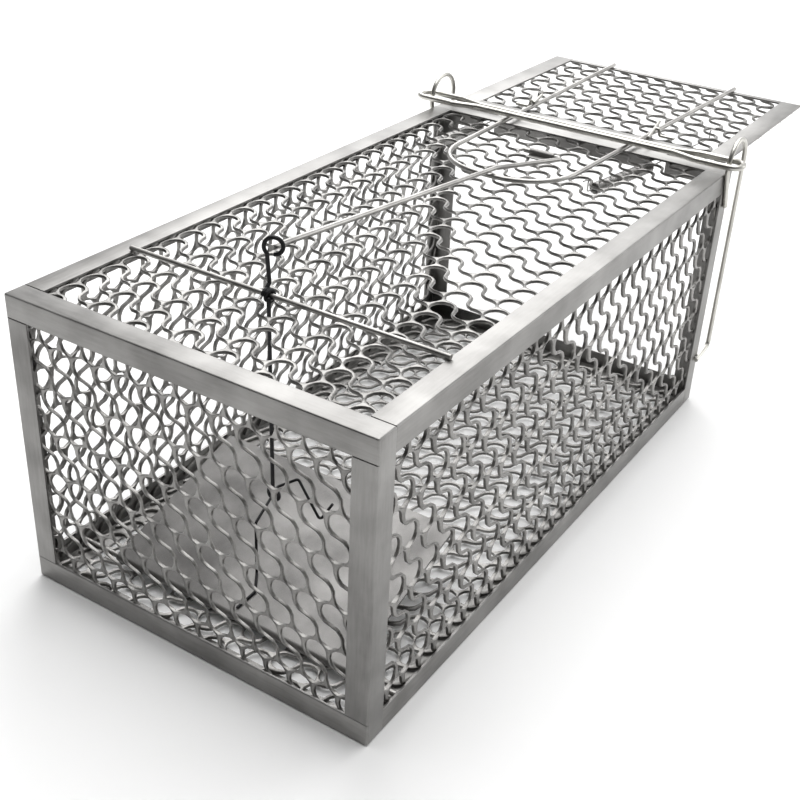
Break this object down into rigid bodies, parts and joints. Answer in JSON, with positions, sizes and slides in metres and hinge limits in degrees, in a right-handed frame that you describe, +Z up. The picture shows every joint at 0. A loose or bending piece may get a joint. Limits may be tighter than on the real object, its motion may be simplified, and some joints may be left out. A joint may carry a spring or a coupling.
{
  "type": "live catch trap",
  "caption": "Wire mesh cage trap with a top-hinged door held open by a bail and trigger rod, a sprung treadle plate inside and a lock bar on wire guides.",
  "frame": {"origin": "middle of the footprint of the whole trap, door open, on the surface it stands on", "axes": "+X from the bait end to the door end, +Y to the left seen from the bait end, +Z up"},
  "size_m": [0.37, 0.1554, 0.1302],
  "materials": {
    "strip_steel": "satin",
    "mesh_steel": "satin",
    "bright_wire": "bright zinc",
    "grey_wire": "dull zinc",
    "black_wire": "dark annealed",
    "spring_steel": "drawn wire",
    "plate_steel": "matte grained"
  },
  "bodies": {
    "cage": {"bait_end_top_rail": "strip_steel", "bait_end_bottom_rail": "strip_steel", "door_end_top_rail": "strip_steel", "door_end_bottom_rail": "strip_steel", "bait_end_left_post": "strip_steel", "bait_end_right_post": "strip_steel", "door_end_left_post": "strip_steel", "door_end_right_post": "strip_steel", "top_left_rail": "strip_steel", "bottom_left_rail": "strip_steel", "top_right_rail": "strip_steel", "bottom_right_rail": "strip_steel", "top_mesh": "mesh_steel", "floor_mesh": "mesh_steel", "left_mesh": "mesh_steel", "right_mesh": "mesh_steel", "bait_end_mesh": "mesh_steel", "left_lock_guide": "bright_wire", "right_lock_guide": "bright_wire", "cross_bar": "grey_wire", "rod_saddle": "strip_steel", "treadle_pivot_wire": "grey_wire", "left_spring": "spring_steel", "right_spring": "spring_steel"},
    "door": {"door_mesh": "mesh_steel", "door_left_strip": "strip_steel", "door_right_strip": "strip_steel", "door_far_hem": "strip_steel", "door_hinge_strip": "strip_steel", "hinge_wire": "grey_wire", "door_bail": "grey_wire", "left_bail_clip": "bright_wire", "right_bail_clip": "bright_wire"},
    "lock_bar": {"lock_bar": "bright_wire"},
    "trigger_rod": {"trigger_rod": "grey_wire"},
    "bait_lever": {"bait_lever": "black_wire"},
    "treadle": {"treadle_plate": "plate_steel", "bait_wire": "black_wire"}
  },
  "joints": [
    {"name": "door_hinge", "type": "hinge", "parent": "cage", "child": "door", "pos_m": [0.079, 0, 0.1096], "axis": [0, 1, 0], "range_deg": [0, 90], "deforming": ["left_spring", "right_spring"]},
    {"name": "lock_bar_ride", "type": "hinge", "parent": "cage", "child": "lock_bar", "pos_m": [0.077, 0, 0.113], "axis": [0, 1, 0], "range_deg": [0, 180]},
    {"name": "rod_swing", "type": "hinge", "parent": "cage", "child": "trigger_rod", "pos_m": [0.04, 0, 0.1105], "axis": [0, 1, 0], "range_deg": [0, 169.2]},
    {"name": "treadle_tilt", "type": "hinge", "parent": "cage", "child": "treadle", "pos_m": [-0.1655, 0, 0.0047], "axis": [0, 1, 0], "range_deg": [0, 3]},
    {"name": "lever_swing", "type": "hinge", "parent": "cage", "child": "bait_lever", "pos_m": [-0.137, 0.004, 0.1109], "axis": [0, 1, 0], "range_deg": [-3.6, 0]}
  ],
  "couplings": [
    {"joint": "lock_bar_ride", "follows": "door_hinge", "ratio": 2},
    {"joint": "rod_swing", "follows": "door_hinge", "ratio": 1.88},
    {"joint": "lever_swing", "follows": "treadle_tilt", "ratio": -1.2}
  ]
}
